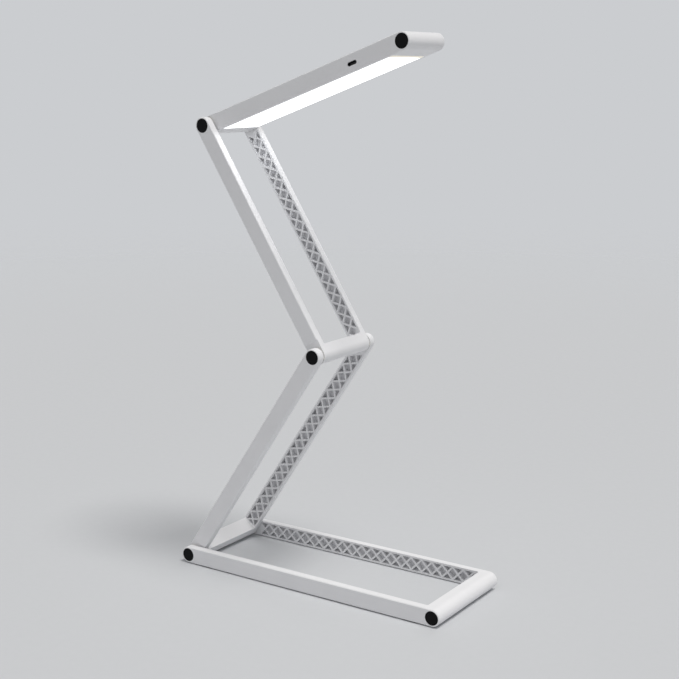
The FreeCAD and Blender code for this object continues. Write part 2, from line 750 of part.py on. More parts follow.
doc.recompute()
for thing in doc.Objects:
    if "Invalid" in thing.State or "Error" in thing.State:
        raise RuntimeError(f"{thing.Label} failed: {thing.State}")
bodies = [thing for thing in doc.Objects if thing.TypeId == "PartDesign::Body"]
for body in bodies:
    if body.Shape.isNull() or not body.Shape.isValid():
        raise RuntimeError(f"{body.Label} has no valid shape")

os.makedirs("parts", exist_ok=True)
for body in bodies:
    body.Shape.exportStep(f"parts/{body.Label}.step")
    solids = len(body.Shape.Solids)
    print(f"{body.Label}: {solids} solid(s), {body.Shape.Volume / 1000:.2f} cm3")
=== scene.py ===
import logging
import math
from dataclasses import dataclass, field
from enum import Enum
from typing import Any

import bmesh
import bpy
from mathutils import Matrix, Vector


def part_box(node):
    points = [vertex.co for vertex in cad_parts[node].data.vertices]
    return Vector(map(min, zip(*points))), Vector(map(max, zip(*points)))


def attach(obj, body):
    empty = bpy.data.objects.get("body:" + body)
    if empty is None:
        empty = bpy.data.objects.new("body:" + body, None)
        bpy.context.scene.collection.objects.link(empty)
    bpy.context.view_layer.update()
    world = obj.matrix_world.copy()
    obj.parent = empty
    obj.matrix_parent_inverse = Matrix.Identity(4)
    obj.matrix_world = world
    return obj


# An accordion desk lamp: base frame, lower arm, upper arm and lamp head, each
# folding into the one before it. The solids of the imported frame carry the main
# shapes. This script softens their edges, gives each its finish, and adds the
# small pieces that a moulded lamp shows close up. All lengths are in metres.

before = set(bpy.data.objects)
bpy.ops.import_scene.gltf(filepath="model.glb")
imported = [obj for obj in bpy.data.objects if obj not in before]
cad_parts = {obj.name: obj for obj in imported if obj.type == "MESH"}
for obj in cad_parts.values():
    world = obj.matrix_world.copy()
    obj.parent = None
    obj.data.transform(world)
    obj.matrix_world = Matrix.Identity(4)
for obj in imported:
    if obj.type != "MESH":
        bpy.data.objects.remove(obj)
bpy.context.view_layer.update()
LOG = logging.getLogger("accordion_lamp")
MM = 0.001


# ------------------------------------------------------------------ small tools

def srgb(code: str) -> tuple[float, float, float, float]:
    """Turn an sRGB hex colour into linear red, green, blue and alpha.

    Args:
        code: Six hex digits, with or without a leading #.

    Returns:
        Linear colour with an alpha of 1.
    """
    digits = code.lstrip("#")
    parts = [int(digits[place:place + 2], 16) / 255 for place in (0, 2, 4)]
    linear = [part / 12.92 if part <= 0.04045 else ((part + 0.055) / 1.055) ** 2.4 for part in parts]
    return linear[0], linear[1], linear[2], 1.0


def per_metre(size_mm: float) -> float:
    """Give the texture scale at which one cell of a pattern measures a size.

    Args:
        size_mm: Real size of the cell in millimetres.

    Returns:
        Cells per metre, for a node fed with object coordinates.
    """
    return 1 / (size_mm * MM)


def add_node(tree: bpy.types.NodeTree, kind: str, settings: dict[str, Any] | None = None,
             inputs: dict[str | int, Any] | None = None) -> bpy.types.Node:
    """Add a node with its settings, its constants and its links.

    Args:
        tree: Tree that the node goes into.
        kind: Blender's identifier of the node type.
        settings: Properties of the node itself, by name.
        inputs: Input sockets by name or number; a value is a constant or an
            output socket of another node, which is linked.

    Returns:
        The new node.
    """
    node = tree.nodes.new(kind)
    for name, value in (settings or {}).items():
        setattr(node, name, value)
    for key, value in (inputs or {}).items():
        if isinstance(value, bpy.types.NodeSocket):
            tree.links.new(value, node.inputs[key])
        else:
            node.inputs[key].default_value = value
    return node


# --------------------------------------------------------------------- finishes

# Parts of a noise's range that are spread over a finish's own range.
CLOUD_RANGE = (0.3, 0.7)
PATCH_RANGE = (0.25, 0.75)


@dataclass(frozen=True)
class Finish:
    """A material, named for what it is and how its surface was made.

    Attributes:
        name: Name of the material.
        colour: sRGB hex colour.
        roughness: Mean roughness.
        ior: Index of refraction.
        metallic: 1 for a bare metal.
        specular: Level of the surface's own reflection, 0.5 for a clean one.
        transmission: Share of the light that passes through.
        grain_mm: Size of the surface's grain.
        grain_depth_mm: Height of that grain in the bump.
        mottle_mm: Size of the slow variation in gloss and shade.
        mottle: Share by which the shade varies.
        patchiness: Share by which the roughness varies.
    """

    name: str
    colour: str
    roughness: float
    ior: float = 1.5
    metallic: float = 0.0
    specular: float = 0.5
    transmission: float = 0.0
    grain_mm: float = 0.5
    grain_depth_mm: float = 0.01
    mottle_mm: float = 18.0
    mottle: float = 0.03
    patchiness: float = 0.15

    def build(self) -> bpy.types.Material:
        """Make the material, once for each name.

        Returns:
            The material with its nodes.
        """
        made = bpy.data.materials.get(self.name)
        if made:
            return made
        material = bpy.data.materials.new(self.name)
        material.use_nodes = True
        material.node_tree.nodes.clear()
        shader = self.shade(material.node_tree)
        add_node(material.node_tree, "ShaderNodeOutputMaterial", inputs={0: shader.outputs[0]})
        return material

    def shade(self, tree: bpy.types.NodeTree) -> bpy.types.Node:
        """Lay out the nodes and give the shader.

        Args:
            tree: The material's node tree.

        Returns:
            The principled shader.
        """
        place = add_node(tree, "ShaderNodeTexCoord").outputs["Object"]
        return add_node(tree, "ShaderNodeBsdfPrincipled", inputs={
            "Base Color": self.shade_colour(tree, place),
            "Roughness": self.shade_roughness(tree, place),
            "IOR": self.ior,
            "Metallic": self.metallic,
            "Specular IOR Level": self.specular,
            "Transmission Weight": self.transmission,
            "Normal": self.shade_grain(tree, place),
        })

    def shade_colour(self, tree: bpy.types.NodeTree,
                     place: bpy.types.NodeSocket) -> bpy.types.NodeSocket:
        """Give the colour, with a slow cloudy variation.

        Args:
            tree: The material's node tree.
            place: Object coordinates.

        Returns:
            Colour socket.
        """
        cloud = add_node(tree, "ShaderNodeTexNoise", inputs={
            "Vector": place, "Scale": per_metre(self.mottle_mm), "Detail": 3.0, "Roughness": 0.5})
        shade = add_node(tree, "ShaderNodeMapRange", inputs={
            "Value": cloud.outputs["Fac"], "From Min": CLOUD_RANGE[0], "From Max": CLOUD_RANGE[1],
            "To Min": 1 - self.mottle, "To Max": 1 + self.mottle})
        return add_node(tree, "ShaderNodeHueSaturation", inputs={
            "Color": srgb(self.colour), "Value": shade.outputs["Result"]}).outputs["Color"]

    def shade_roughness(self, tree: bpy.types.NodeTree,
                        place: bpy.types.NodeSocket) -> bpy.types.NodeSocket:
        """Give the roughness, a little uneven as a moulded or rolled face is.

        Args:
            tree: The material's node tree.
            place: Object coordinates.

        Returns:
            Value socket.
        """
        patch = add_node(tree, "ShaderNodeTexNoise", inputs={
            "Vector": place, "Scale": per_metre(self.mottle_mm / 3), "Detail": 4.0})
        return add_node(tree, "ShaderNodeMapRange", inputs={
            "Value": patch.outputs["Fac"], "From Min": PATCH_RANGE[0], "From Max": PATCH_RANGE[1],
            "To Min": self.roughness * (1 - self.patchiness),
            "To Max": self.roughness * (1 + self.patchiness)}).outputs["Result"]

    def shade_grain(self, tree: bpy.types.NodeTree,
                    place: bpy.types.NodeSocket) -> bpy.types.NodeSocket:
        """Give the normal of the fine grain.

        Args:
            tree: The material's node tree.
            place: Object coordinates.

        Returns:
            Normal socket.
        """
        grain = add_node(tree, "ShaderNodeTexNoise", inputs={
            "Vector": place, "Scale": per_metre(self.grain_mm), "Detail": 2.0})
        return add_node(tree, "ShaderNodeBump", inputs={
            "Height": grain.outputs["Fac"], "Distance": self.grain_depth_mm * MM,
            "Strength": 1.0}).outputs["Normal"]


@dataclass(frozen=True)
class LitDiffuser(Finish):
    """Opal sheet lit through a guide by light chips along its two long edges.

    Attributes:
        middle: Middle of the sheet.
        along: Direction of its long side.
        half_length: Half of its long side.
        half_width: Half of its short side, which lies along Y.
        strength: Radiance of the lit face.
        edge_strength: Radiance at its very edge, which the guide doesn't reach.
        glow: sRGB hex colour of the light.
        fringe: sRGB hex colour of the band at the free end, past the last chips.
        fringe_strength: Radiance of that band.
        fringe_mm: Length of that band.
        end_fade_mm: Length over which the light fades into that band.
        side_fade_mm: Width over which it fades towards the other three edges.
    """

    middle: tuple[float, float, float] = (0.0, 0.0, 0.0)
    along: tuple[float, float, float] = (1.0, 0.0, 0.0)
    half_length: float = 0.074
    half_width: float = 0.02
    strength: float = 2.7
    edge_strength: float = 0.85
    glow: str = "FBFDFF"
    fringe: str = "E8D7A6"
    fringe_strength: float = 0.36
    fringe_mm: float = 3.0
    end_fade_mm: float = 1.0
    side_fade_mm: float = 3.5

    def shade(self, tree: bpy.types.NodeTree) -> bpy.types.Node:
        """Add the light to the opal sheet.

        Args:
            tree: The material's node tree.

        Returns:
            The principled shader, with its emission.
        """
        shader = super().shade(tree)
        end = self.fade(tree, self.along, self.half_length - self.fringe_mm * MM,
                        self.end_fade_mm * MM)
        back = tuple(-part for part in self.along)
        edge = self.fade(tree, back, self.half_length, self.side_fade_mm * MM)
        for way in (1.0, -1.0):
            side = self.fade(tree, (0.0, way, 0.0), self.half_width, self.side_fade_mm * MM)
            edge = add_node(tree, "ShaderNodeMath", {"operation": "MAXIMUM"}, {
                0: edge, 1: side}).outputs[0]
        tint = add_node(tree, "ShaderNodeMix", {"data_type": "RGBA"}, {
            "Factor": end, 6: srgb(self.glow), 7: srgb(self.fringe)})
        level = add_node(tree, "ShaderNodeMapRange", inputs={
            "Value": edge, "To Min": self.strength, "To Max": self.edge_strength})
        level = add_node(tree, "ShaderNodeMapRange", inputs={
            "Value": end, "To Min": level.outputs["Result"], "To Max": self.fringe_strength})
        tree.links.new(tint.outputs[2], shader.inputs["Emission Color"])
        tree.links.new(level.outputs["Result"], shader.inputs["Emission Strength"])
        return shader

    def fade(self, tree: bpy.types.NodeTree, direction: tuple[float, ...], reach: float,
             width: float) -> bpy.types.NodeSocket:
        """Give 0 over the sheet and rise to 1 towards one of its edges.

        Args:
            tree: The material's node tree.
            direction: Direction from the middle to that edge.
            reach: Distance from the middle at which the rise ends.
            width: Width of the rise.

        Returns:
            Value socket.
        """
        place = add_node(tree, "ShaderNodeTexCoord").outputs["Object"]
        offset = add_node(tree, "ShaderNodeVectorMath", {"operation": "SUBTRACT"},
                          {0: place, 1: self.middle})
        distance = add_node(tree, "ShaderNodeVectorMath", {"operation": "DOT_PRODUCT"},
                            {0: offset.outputs[0], 1: direction})
        return add_node(tree, "ShaderNodeMapRange", {"interpolation_type": "SMOOTHSTEP"}, {
            "Value": distance.outputs["Value"], "From Min": reach - width,
            "From Max": reach}).outputs["Result"]


@dataclass(frozen=True)
class LaidCircuit(Finish):
    """Glass-epoxy board with etched copper under a green mask.

    Attributes:
        trace: sRGB hex colour over the copper.
        trace_mm: Size of a field of copper with its gap.
        gap: Distance from a field's middle, in such sizes, at which the gap starts.
    """

    trace: str = "2E7B45"
    trace_mm: float = 1.2
    gap: float = 0.45

    def shade_colour(self, tree: bpy.types.NodeTree,
                     place: bpy.types.NodeSocket) -> bpy.types.NodeSocket:
        """Show the copper as lighter blocks under the mask.

        Args:
            tree: The material's node tree.
            place: Object coordinates.

        Returns:
            Colour socket.
        """
        cells = add_node(tree, "ShaderNodeTexVoronoi", {"distance": "MANHATTAN"}, {
            "Vector": place, "Scale": per_metre(self.trace_mm)})
        edge = add_node(tree, "ShaderNodeMath", {"operation": "GREATER_THAN"},
                        {0: cells.outputs["Distance"], 1: self.gap})
        return add_node(tree, "ShaderNodeMix", {"data_type": "RGBA"}, {
            "Factor": edge.outputs[0], 6: srgb(self.colour), 7: srgb(self.trace)}).outputs[2]


@dataclass(frozen=True)
class Brushed(Finish):
    """Metal with fine parallel marks from rolling, drawing or turning.

    Attributes:
        stretch: How much longer the marks are than wide, along Y.
    """

    stretch: float = 30.0

    def shade_grain(self, tree: bpy.types.NodeTree,
                    place: bpy.types.NodeSocket) -> bpy.types.NodeSocket:
        """Give the normal of the drawn-out marks.

        Args:
            tree: The material's node tree.
            place: Object coordinates.

        Returns:
            Normal socket.
        """
        drawn = add_node(tree, "ShaderNodeMapping", inputs={
            "Vector": place, "Scale": (1.0, 1 / self.stretch, 1.0)})
        return super().shade_grain(tree, drawn.outputs[0])


# ABS from a spark-eroded mould: satin, near white, with a fine even grain that
# breaks up the highlights. The true grain is about 0.1 mm; it is drawn at
# 0.8 mm so that it shows.
MOULDED_ABS = Finish("satin_moulded_abs", "ECECEE", 0.42, ior=1.53, grain_mm=0.8,
                     grain_depth_mm=0.02, mottle_mm=26.0, mottle=0.015)
# The same plastic in black from a coarser mould: it reads as a soft, deep
# black disc with a faint speckle. The true grain is about 0.2 mm; it is drawn
# at 0.8 mm so that it shows.
MOULDED_CAP = Finish("black_textured_abs", "0A0A0C", 0.5, ior=1.53, specular=0.1, grain_mm=0.8,
                     grain_depth_mm=0.06, mottle_mm=2.5, mottle=0.25)
# Moulded silicone rubber: dull and dark, it grips the table.
MOULDED_SILICONE = Finish("moulded_silicone", "3A3A3C", 0.72, ior=1.41, grain_mm=0.6,
                          grain_depth_mm=0.02, mottle_mm=5.0, mottle=0.08)
# Zinc-plated turned steel: bluish grey with fine turning marks.
TURNED_STEEL = Brushed("zinc_plated_steel", "B9BCC2", 0.32, metallic=1.0, grain_mm=0.3,
                       grain_depth_mm=0.004, mottle_mm=3.0, mottle=0.05)
# Die-cut natural nylon: waxy, faintly yellow.
CUT_NYLON = Finish("die_cut_nylon", "DAD7C8", 0.5, ior=1.53, grain_mm=0.4,
                   grain_depth_mm=0.008, mottle_mm=4.0, mottle=0.04)
# Cast acrylic with laser-etched dots: clear, a little frosted by the dots.
ETCHED_ACRYLIC = Finish("etched_acrylic", "F3F6F7", 0.12, ior=1.49, transmission=0.85,
                        grain_mm=0.8, grain_depth_mm=0.01, mottle_mm=9.0, mottle=0.02)
# White polyester film: bright and dull.
WHITE_FILM = Finish("white_polyester_film", "F2F2F0", 0.6, grain_mm=0.5, grain_depth_mm=0.003)
# Flexible circuit with a white solder mask.
WHITE_CIRCUIT = Finish("white_flexible_circuit", "E6E5DF", 0.45, grain_mm=0.7, grain_depth_mm=0.004)
# Phosphor silicone over a blue die: egg-yolk yellow.
PHOSPHOR = Finish("phosphor_silicone", "E3C24A", 0.4, ior=1.41, grain_mm=0.4,
                  grain_depth_mm=0.006, mottle_mm=1.5, mottle=0.08)
# Rolled aluminium sheet, mill finish: soft grey with marks along the roll.
ROLLED_ALUMINIUM = Brushed("mill_rolled_aluminium", "C3C4C6", 0.38, metallic=1.0, grain_mm=0.4,
                           grain_depth_mm=0.004, mottle_mm=14.0, mottle=0.03)
# Aluminium laminate pouch: bright and a little puckered.
POUCH_FOIL = Finish("laminate_pouch_foil", "BFC1C4", 0.3, metallic=1.0, grain_mm=3.5,
                    grain_depth_mm=0.05, mottle_mm=8.0, mottle=0.04)
# Closed-cell foam: black, with open cells at the cut face.
CUT_FOAM = Finish("closed_cell_foam", "1D1D1F", 0.9, grain_mm=0.7, grain_depth_mm=0.15,
                  mottle_mm=2.5, mottle=0.25)
# Glass-epoxy laminate under a green mask.
CIRCUIT_BOARD = LaidCircuit("green_masked_laminate", "145C2E", 0.35, ior=1.55, grain_mm=0.3,
                            grain_depth_mm=0.004)
# Nickel-plated steel strip: smooth, slightly warm.
DRAWN_STEEL = Brushed("nickel_plated_steel", "C6C2BC", 0.25, metallic=1.0, grain_mm=0.3,
                      grain_depth_mm=0.003, mottle_mm=2.0, mottle=0.05)
# Deep-drawn steel shell plated in black nickel: a dark, even sheen.
BLACK_NICKEL = Brushed("black_nickel_plated_steel", "3B3B3E", 0.34, metallic=1.0, grain_mm=0.3,
                       grain_depth_mm=0.003, mottle_mm=2.0, mottle=0.06)
# Carbon-loaded foam over a copper pad.
CONDUCTIVE_FOAM = Finish("conductive_foam", "47474B", 0.85, grain_mm=0.6, grain_depth_mm=0.1,
                         mottle_mm=2.0, mottle=0.15)
# Glass-filled nylon round the contacts: black, slightly glossy.
MOULDED_NYLON = Finish("black_glass_filled_nylon", "0F0F10", 0.4, ior=1.53, grain_mm=0.35,
                       grain_depth_mm=0.01, mottle_mm=1.5, mottle=0.15)
# Gold flash over nickel, on the contacts.
GOLD_FLASH = Brushed("gold_flashed_contact", "E0B860", 0.22, metallic=1.0, grain_mm=0.2,
                     grain_depth_mm=0.002, mottle_mm=1.0, mottle=0.05)
# Pad-printed ink: flat grey with a slightly soft edge.
PRINTED_INK = Finish("pad_printed_ink", "8C8D91", 0.55, grain_mm=0.3, grain_depth_mm=0.003,
                     mottle_mm=1.0, mottle=0.06)


# ---------------------------------------------------------------- working of CAD

# Faces whose borders lie this near are joined, and triangles that lie within
# the flat angle of each other become one face.
WELD_GAP = 0.002 * MM
FLAT_ANGLE = math.radians(0.02)
# Edges over the sharp angle are rounded, in this many steps.
SHARP_ANGLE = math.radians(25)
EDGE_STEPS = 2


class EdgeBreak(Enum):
    """Radius in millimetres that a way of making leaves on an edge."""

    MOULDED = 0.22
    MOULDED_FINE = 0.12
    TURNED = 0.15
    CUT = 0.05


def dress(node: str, finish: Finish, edge: EdgeBreak | None = None) -> bpy.types.Object:
    """Give a solid of the frame its finish and, where asked, softened edges.

    Args:
        node: Name of the solid.
        finish: Its finish.
        edge: How its edges were left, or None to leave them sharp.

    Returns:
        The solid's object.
    """
    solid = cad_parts[node]
    solid.data.materials.clear()
    solid.data.materials.append(finish.build())
    if edge:
        soften(solid, edge)
    LOG.info("%s dressed in %s", node, finish.name)
    return solid


def soften(solid: bpy.types.Object, edge: EdgeBreak) -> None:
    """Round the sharp edges of an object with modifiers.

    The faces of a solid come apart at their borders, so they are welded and
    their flat triangles joined before the bevel.

    Args:
        solid: Object to soften.
        edge: How the edges were left.
    """
    weld = solid.modifiers.new("weld", "WELD")
    weld.merge_threshold = WELD_GAP
    flats = solid.modifiers.new("join_flats", "DECIMATE")
    flats.decimate_type = "DISSOLVE"
    flats.angle_limit = FLAT_ANGLE
    bevel = solid.modifiers.new("edge_break", "BEVEL")
    bevel.width = edge.value * MM
    bevel.segments = EDGE_STEPS
    bevel.limit_method = "ANGLE"
    bevel.angle_limit = SHARP_ANGLE
    bevel.use_clamp_overlap = True
    normals = solid.modifiers.new("even_normals", "WEIGHTED_NORMAL")
    normals.keep_sharp = False


def new_piece(name: str, shape: bmesh.types.BMesh, finish: Finish, body: str) -> bpy.types.Object:
    """Make a piece of the object from a mesh in the frame's own coordinates.

    Args:
        name: Name of the piece.
        shape: Its mesh, which is freed.
        finish: Its finish.
        body: Body that it rides on.

    Returns:
        The new object.
    """
    bmesh.ops.recalc_face_normals(shape, faces=shape.faces[:])
    mesh = bpy.data.meshes.new(name)
    shape.to_mesh(mesh)
    shape.free()
    mesh.materials.append(finish.build())
    piece = bpy.data.objects.new(name, mesh)
    bpy.context.scene.collection.objects.link(piece)
    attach(piece, body)
    LOG.info("%s made, %d faces, rides on %s", name, len(mesh.polygons), body)
    return piece


def add_block(shape: bmesh.types.BMesh, middle: tuple[float, float, float],
              size: tuple[float, float, float]) -> None:
    """Add a block to a mesh.

    Args:
        shape: Mesh that it goes into.
        middle: Its middle.
        size: Its size along X, Y and Z.
    """
    place = Matrix.Translation(middle) @ Matrix.Diagonal((*size, 1.0))
    bmesh.ops.create_cube(shape, size=1.0, matrix=place)


# ------------------------------------------------------------------ sub-assemblies

@dataclass
class LatticeFrame:
    """One U-shaped moulded frame and the black caps that move with it.

    Attributes:
        frame_node: The moulding.
        caps_node: Its caps.
    """

    frame_node: str
    caps_node: str

    def build(self) -> None:
        """Finish the moulding and its caps."""
        dress(self.frame_node, MOULDED_ABS, EdgeBreak.MOULDED)
        dress(self.caps_node, MOULDED_CAP, EdgeBreak.MOULDED)


@dataclass
class BaseFrame(LatticeFrame):
    """The outermost frame, which lies on the table.

    Attributes:
        pads_node: The soft pads under it.
    """

    pads_node: str = "foot_pads"

    def build(self) -> None:
        """Finish the moulding, its caps and its pads."""
        super().build()
        dress(self.pads_node, MOULDED_SILICONE, EdgeBreak.MOULDED)


@dataclass
class HingeHardware:
    """Bolt, lock nut and friction pads of one hinge, hidden behind its caps.

    Attributes:
        letter: Letter of the hinge, from the base up.
    """

    letter: str

    def build(self) -> None:
        """Finish the hardware."""
        dress(f"hinge_bolt_{self.letter}", TURNED_STEEL, EdgeBreak.TURNED)
        dress(f"lock_nut_{self.letter}", TURNED_STEEL, EdgeBreak.TURNED)
        dress(f"friction_pads_{self.letter}", CUT_NYLON)


@dataclass
class LampHead:
    """Housing with its light panel, battery, board and charging port.

    Attributes:
        half_depth: Half of the housing's thickness, also its end radius.
        mark_depth: Depth of the touch dimple in the top.
        ring_radius: Middle of the ring printed in that dimple.
        ring_width: Width of that ring's line.
        ring_sides: Straight pieces in each of its circles.
        ink_depth: Thickness of the ink.
        port_inside: Width and height of the hollow in the port's shell.
        port_back: Thickness of the shell's back.
        insert_floor: Thickness of the plastic insert on that back.
        insert_gap: Gap between the insert and the shell.
        tongue_size: Width and thickness of the solid's contact tongue.
        tongue_length: How far that tongue comes forward from the back.
        cover: Thickness of the plastic over the tongue.
        contact_count: Contacts on the tongue's lower face.
        contact_pitch: Distance between the middles of two contacts.
        contact_size: Width, length and thickness of a contact.
        contact_start: Distance from the port's back to a contact.
        hinge: Point on the axis of hinge C.
        free_end: Middle of the rounded free end.
        along: Direction from the hinge to the free end.
        up: Direction out of the top.
    """

    half_depth: float = 6.0 * MM
    mark_depth: float = 0.3 * MM
    ring_radius: float = 3.1 * MM
    ring_width: float = 0.45 * MM
    ring_sides: int = 64
    ink_depth: float = 0.03 * MM
    port_inside: tuple[float, float] = (6.8 * MM, 1.9 * MM)
    port_back: float = 0.3 * MM
    insert_floor: float = 0.35 * MM
    insert_gap: float = 0.04 * MM
    tongue_size: tuple[float, float] = (4.6 * MM, 0.5 * MM)
    tongue_length: float = 4.5 * MM
    cover: float = 0.06 * MM
    contact_count: int = 5
    contact_pitch: float = 0.65 * MM
    contact_size: tuple[float, float, float] = (0.37 * MM, 3.5 * MM, 0.04 * MM)
    contact_start: float = 0.7 * MM
    hinge: Vector = field(init=False)
    free_end: Vector = field(init=False)
    along: Vector = field(init=False)
    up: Vector = field(init=False)

    def __post_init__(self) -> None:
        """Find the head's own axes from the frame."""
        low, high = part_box("head_housing")
        inset = Vector((self.half_depth, 0.0, self.half_depth))
        self.hinge = Vector((low.x, 0.0, low.z)) + inset
        self.free_end = Vector((high.x, 0.0, high.z)) - inset
        self.along = (self.free_end - self.hinge).normalized()
        self.up = self.along.cross(Vector((0.0, 1.0, 0.0)))

    def place(self, along: float, across: float, up: float) -> Vector:
        """Give a point in the head's own axes, from hinge C.

        Args:
            along: Distance towards the free end.
            across: Distance along the hinge axis.
            up: Distance above the middle of the thickness.

        Returns:
            The point in the frame's coordinates.
        """
        return self.hinge + self.along * along + Vector((0.0, across, 0.0)) + self.up * up

    def axes(self, origin: Vector) -> Matrix:
        """Give the matrix that takes the head's axes at a point to the frame's.

        Args:
            origin: The point.

        Returns:
            A 4 by 4 matrix.
        """
        across = Vector((0.0, 1.0, 0.0))
        turn = Matrix((self.along, across, self.up)).transposed().to_4x4()
        return Matrix.Translation(origin) @ turn

    def build(self) -> None:
        """Finish every solid of the head and add its small pieces."""
        dress("head_housing", MOULDED_ABS, EdgeBreak.MOULDED)
        dress("head_caps", MOULDED_CAP, EdgeBreak.MOULDED)
        self.light_panel()
        self.electronics()
        self.port_insert()
        self.port_contacts()
        self.touch_ring()

    def light_panel(self) -> None:
        """Light the diffuser and finish what lies behind it."""
        low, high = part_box("diffuser")
        middle = (low + high) / 2
        # Extruded opal polycarbonate: milky, satin, and even in its light.
        opal = LitDiffuser("opal_lit_polycarbonate", "F4F5F6", 0.45, ior=1.58, grain_mm=0.5,
                           grain_depth_mm=0.004, middle=tuple(middle), along=tuple(self.along),
                           half_length=self.panel_half_length(), half_width=(high.y - low.y) / 2)
        dress("diffuser", opal, EdgeBreak.MOULDED_FINE)
        dress("light_guide", ETCHED_ACRYLIC)
        dress("reflector_sheet", WHITE_FILM)
        dress("light_strips", WHITE_CIRCUIT)
        dress("light_chips", PHOSPHOR)
        dress("chassis_plate", ROLLED_ALUMINIUM)

    def panel_half_length(self) -> float:
        """Give half of the diffuser's long side.

        Returns:
            Length in metres, from the box of the tilted sheet.
        """
        low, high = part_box("diffuser")
        return (high.x - low.x) / self.along.x / 2

    def electronics(self) -> None:
        """Finish the battery, the board and the port."""
        dress("battery_cell", POUCH_FOIL, EdgeBreak.TURNED)
        dress("battery_pad", CUT_FOAM)
        dress("board_pad", CUT_FOAM)
        dress("control_board", CIRCUIT_BOARD)
        dress("battery_tabs", DRAWN_STEEL)
        dress("touch_electrode", CONDUCTIVE_FOAM)
        dress("charging_port", BLACK_NICKEL)

    def port_middle(self) -> Vector:
        """Give the middle of the port's back, from the box of its tilted shell.

        Returns:
            The point in the frame's coordinates.
        """
        low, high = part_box("charging_port")
        middle = (low + high) / 2
        middle.y = high.y
        return middle

    def port_insert(self) -> None:
        """Put the plastic body with its tongue into the port's shell."""
        inner_width, inner_height = self.port_inside
        tongue_width, tongue_height = self.tongue_size
        shape = bmesh.new()
        add_block(shape, (0.0, self.port_back + self.insert_floor / 2, 0.0),
                  (inner_width - inner_height, self.insert_floor, inner_height - 2 * self.insert_gap))
        add_block(shape, (0.0, self.tongue_length / 2, 0.0),
                  (tongue_width + 2 * self.cover, self.tongue_length + 2 * self.cover,
                   tongue_height + 2 * self.cover))
        self.seat_in_port(shape)
        insert = new_piece("port_insert", shape, MOULDED_NYLON, "lamp_head")
        soften(insert, EdgeBreak.CUT)

    def port_contacts(self) -> None:
        """Lay the gold contacts on the lower face of the tongue."""
        shape = bmesh.new()
        forward = self.contact_start + self.contact_size[1] / 2
        level = -(self.tongue_size[1] / 2 + self.cover)
        for place in range(self.contact_count):
            across = (place - (self.contact_count - 1) / 2) * self.contact_pitch
            add_block(shape, (across, forward, level), self.contact_size)
        self.seat_in_port(shape)
        new_piece("port_contacts", shape, GOLD_FLASH, "lamp_head")

    def seat_in_port(self, shape: bmesh.types.BMesh) -> None:
        """Move a shape drawn round the port's back, mouth towards +Y, into the port.

        Args:
            shape: Mesh to move.
        """
        half_turn = Matrix.Rotation(math.pi, 4, "Z")
        shape.transform(self.axes(self.port_middle()) @ half_turn)

    def touch_ring(self) -> None:
        """Print a ring in the touch dimple on top of the head."""
        low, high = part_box("charging_port")
        along = ((low + high) / 2 - self.hinge).dot(self.along)
        centre = self.place(along, 0.0, self.half_depth - self.mark_depth)
        shape = bmesh.new()
        outer_radius = self.ring_radius + self.ring_width / 2
        inner_radius = self.ring_radius - self.ring_width / 2
        bmesh.ops.create_circle(shape, segments=self.ring_sides, radius=outer_radius)
        inner = bmesh.ops.extrude_edge_only(shape, edges=shape.edges[:])["geom"]
        for corner in [part for part in inner if isinstance(part, bmesh.types.BMVert)]:
            corner.co *= inner_radius / outer_radius
        bmesh.ops.solidify(shape, geom=shape.faces[:], thickness=self.ink_depth)
        shape.transform(self.axes(centre))
        new_piece("touch_ring", shape, PRINTED_INK, "lamp_head")


# ------------------------------------------------------------------------- studio

@dataclass(frozen=True)
class StudioPaper(Finish):
    """Calendered paper from a roll: matt, with a soft shadow and no highlight.

    It turns clear away from the object, so no far edge shows.

    Attributes:
        solid_radius: Radius within which it is opaque.
        clear_radius: Radius from which it is clear.
    """

    solid_radius: float = 0.7
    clear_radius: float = 2.5

    def shade(self, tree: bpy.types.NodeTree) -> bpy.types.Node:
        """Fade the paper out with distance.

        Args:
            tree: The material's node tree.

        Returns:
            The mix of paper and clear.
        """
        paper = super().shade(tree)
        place = add_node(tree, "ShaderNodeTexCoord").outputs["Object"]
        distance = add_node(tree, "ShaderNodeVectorMath", {"operation": "LENGTH"}, {0: place})
        fade = add_node(tree, "ShaderNodeMapRange", {"interpolation_type": "SMOOTHSTEP"}, {
            "Value": distance.outputs["Value"], "From Min": self.solid_radius,
            "From Max": self.clear_radius})
        clear = add_node(tree, "ShaderNodeBsdfTransparent")
        return add_node(tree, "ShaderNodeMixShader", inputs={
            0: fade.outputs["Result"], 1: paper.outputs[0], 2: clear.outputs[0]})


@dataclass(frozen=True)
class StudioLamp:
    """A far, broad lamp that lights object and floor evenly.

    Attributes:
        name: Name of the lamp.
        place: Where it stands, as seen from the origin.
        strength: Irradiance of a face turned to it; pi shows a colour as written.
        spread: Angle in degrees that the lamp covers, which softens shadows.
        colour: sRGB hex colour.
    """

    name: str
    place: tuple[float, float, float]
    strength: float
    spread: float
    colour: str

    def build(self) -> None:
        """Hang the lamp, turned to the origin."""
        light = bpy.data.lights.new(self.name, "SUN")
        light.energy = self.strength
        light.angle = math.radians(self.spread)
        light.color = srgb(self.colour)[:3]
        holder = bpy.data.objects.new(self.name, light)
        bpy.context.scene.collection.objects.link(holder)
        holder.location = self.place
        holder.rotation_euler = (-Vector(self.place)).to_track_quat("-Z", "Y").to_euler()


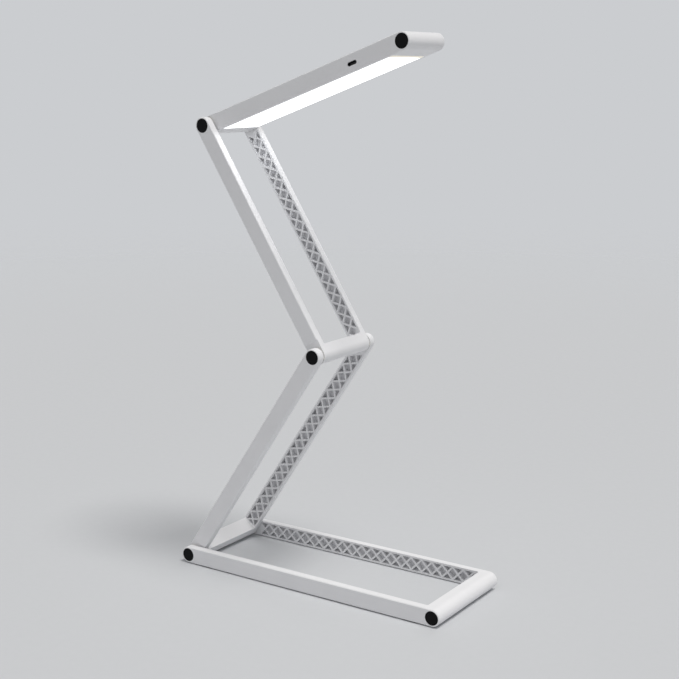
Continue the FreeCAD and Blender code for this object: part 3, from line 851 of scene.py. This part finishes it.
@dataclass
class Studio:
    """Plain pale floor, soft light and the camera.

    Attributes:
        floor_radius: Radius of the floor disc.
        floor_sides: Sides of that disc.
        backdrop: sRGB hex colour of the floor and of what is seen beyond it.
        world_strength: Light from all round; 1 shows a colour as written.
        lamps: The lamps.
        camera_place: Camera position.
        camera_yaw: Turn of the view from +Y towards -X, degrees.
        camera_pitch: Tilt of the view above level, degrees.
        lens: Focal length in millimetres on the sensor.
        sensor: Sensor width in millimetres.
        near_clip: Nearest distance that the camera draws.
    """

    floor_radius: float = 2.6
    floor_sides: int = 96
    backdrop: str = "CBCDD0"
    world_strength: float = 0.34
    lamps: tuple[StudioLamp, ...] = (
        StudioLamp("key_lamp", (0.38, -0.02, 1.1), 1.95, 20.0, "FFFDFA"),
        StudioLamp("fill_lamp", (0.9, -1.1, 0.8), 0.2, 70.0, "F8FAFF"),
    )
    camera_place: tuple[float, float, float] = (0.50743, -0.74753, 0.35908)
    camera_yaw: float = 33.977
    camera_pitch: float = -11.45
    lens: float = 69.25
    sensor: float = 36.0
    near_clip: float = 0.01

    def build(self) -> None:
        """Set up the floor, the world, the lamps and the camera."""
        self.floor()
        self.world()
        for lamp in self.lamps:
            lamp.build()
        self.camera()
        bpy.context.scene.view_settings.view_transform = "Standard"

    def floor(self) -> None:
        """Lay the floor disc, which fades out into the backdrop."""
        shape = bmesh.new()
        bmesh.ops.create_circle(shape, cap_ends=True, segments=self.floor_sides,
                                radius=self.floor_radius)
        mesh = bpy.data.meshes.new("studio_floor")
        shape.to_mesh(mesh)
        shape.free()
        paper = StudioPaper("studio_paper", self.backdrop, roughness=0.75, mottle=0.0,
                            grain_depth_mm=0.002)
        mesh.materials.append(paper.build())
        disc = bpy.data.objects.new("studio_floor", mesh)
        bpy.context.scene.collection.objects.link(disc)

    def world(self) -> None:
        """Give an even light from all round, and the backdrop where it is seen."""
        world = bpy.data.worlds.new("studio_world")
        bpy.context.scene.world = world
        world.use_nodes = True
        tree = world.node_tree
        tree.nodes.clear()
        path = add_node(tree, "ShaderNodeLightPath")
        seen = add_node(tree, "ShaderNodeMath", {"operation": "MAXIMUM"}, {
            0: path.outputs["Is Camera Ray"], 1: path.outputs["Is Glossy Ray"]})
        seen = add_node(tree, "ShaderNodeMath", {"operation": "MAXIMUM"}, {
            0: seen.outputs[0], 1: path.outputs["Is Transmission Ray"]})
        light = add_node(tree, "ShaderNodeBackground", inputs={
            "Color": srgb("FFFFFF"), "Strength": self.world_strength})
        shown = add_node(tree, "ShaderNodeBackground", inputs={
            "Color": srgb(self.backdrop), "Strength": 1.0})
        mixed = add_node(tree, "ShaderNodeMixShader", inputs={
            0: seen.outputs[0], 1: light.outputs[0], 2: shown.outputs[0]})
        add_node(tree, "ShaderNodeOutputWorld", inputs={0: mixed.outputs[0]})

    def camera(self) -> None:
        """Stand the camera where the photograph was taken from."""
        data = bpy.data.cameras.new("view_camera")
        data.lens = self.lens
        data.sensor_width = self.sensor
        data.clip_start = self.near_clip
        eye = bpy.data.objects.new("view_camera", data)
        bpy.context.scene.collection.objects.link(eye)
        eye.location = self.camera_place
        level = math.radians(90 + self.camera_pitch)
        eye.rotation_euler = (level, 0.0, math.radians(self.camera_yaw))
        bpy.context.scene.camera = eye


# --------------------------------------------------------------------------- main


def main() -> None:
    """Build every sub-assembly in order, then the studio."""
    logging.basicConfig(level=logging.INFO, format="%(name)s: %(message)s")
    BaseFrame("base_frame", "base_caps").build()
    LatticeFrame("lower_arm_frame", "lower_arm_caps").build()
    LatticeFrame("upper_arm_frame", "upper_arm_caps").build()
    for letter in "abc":
        HingeHardware(letter).build()
    LampHead().build()
    Studio().build()


if __name__ == "__main__":
    main()
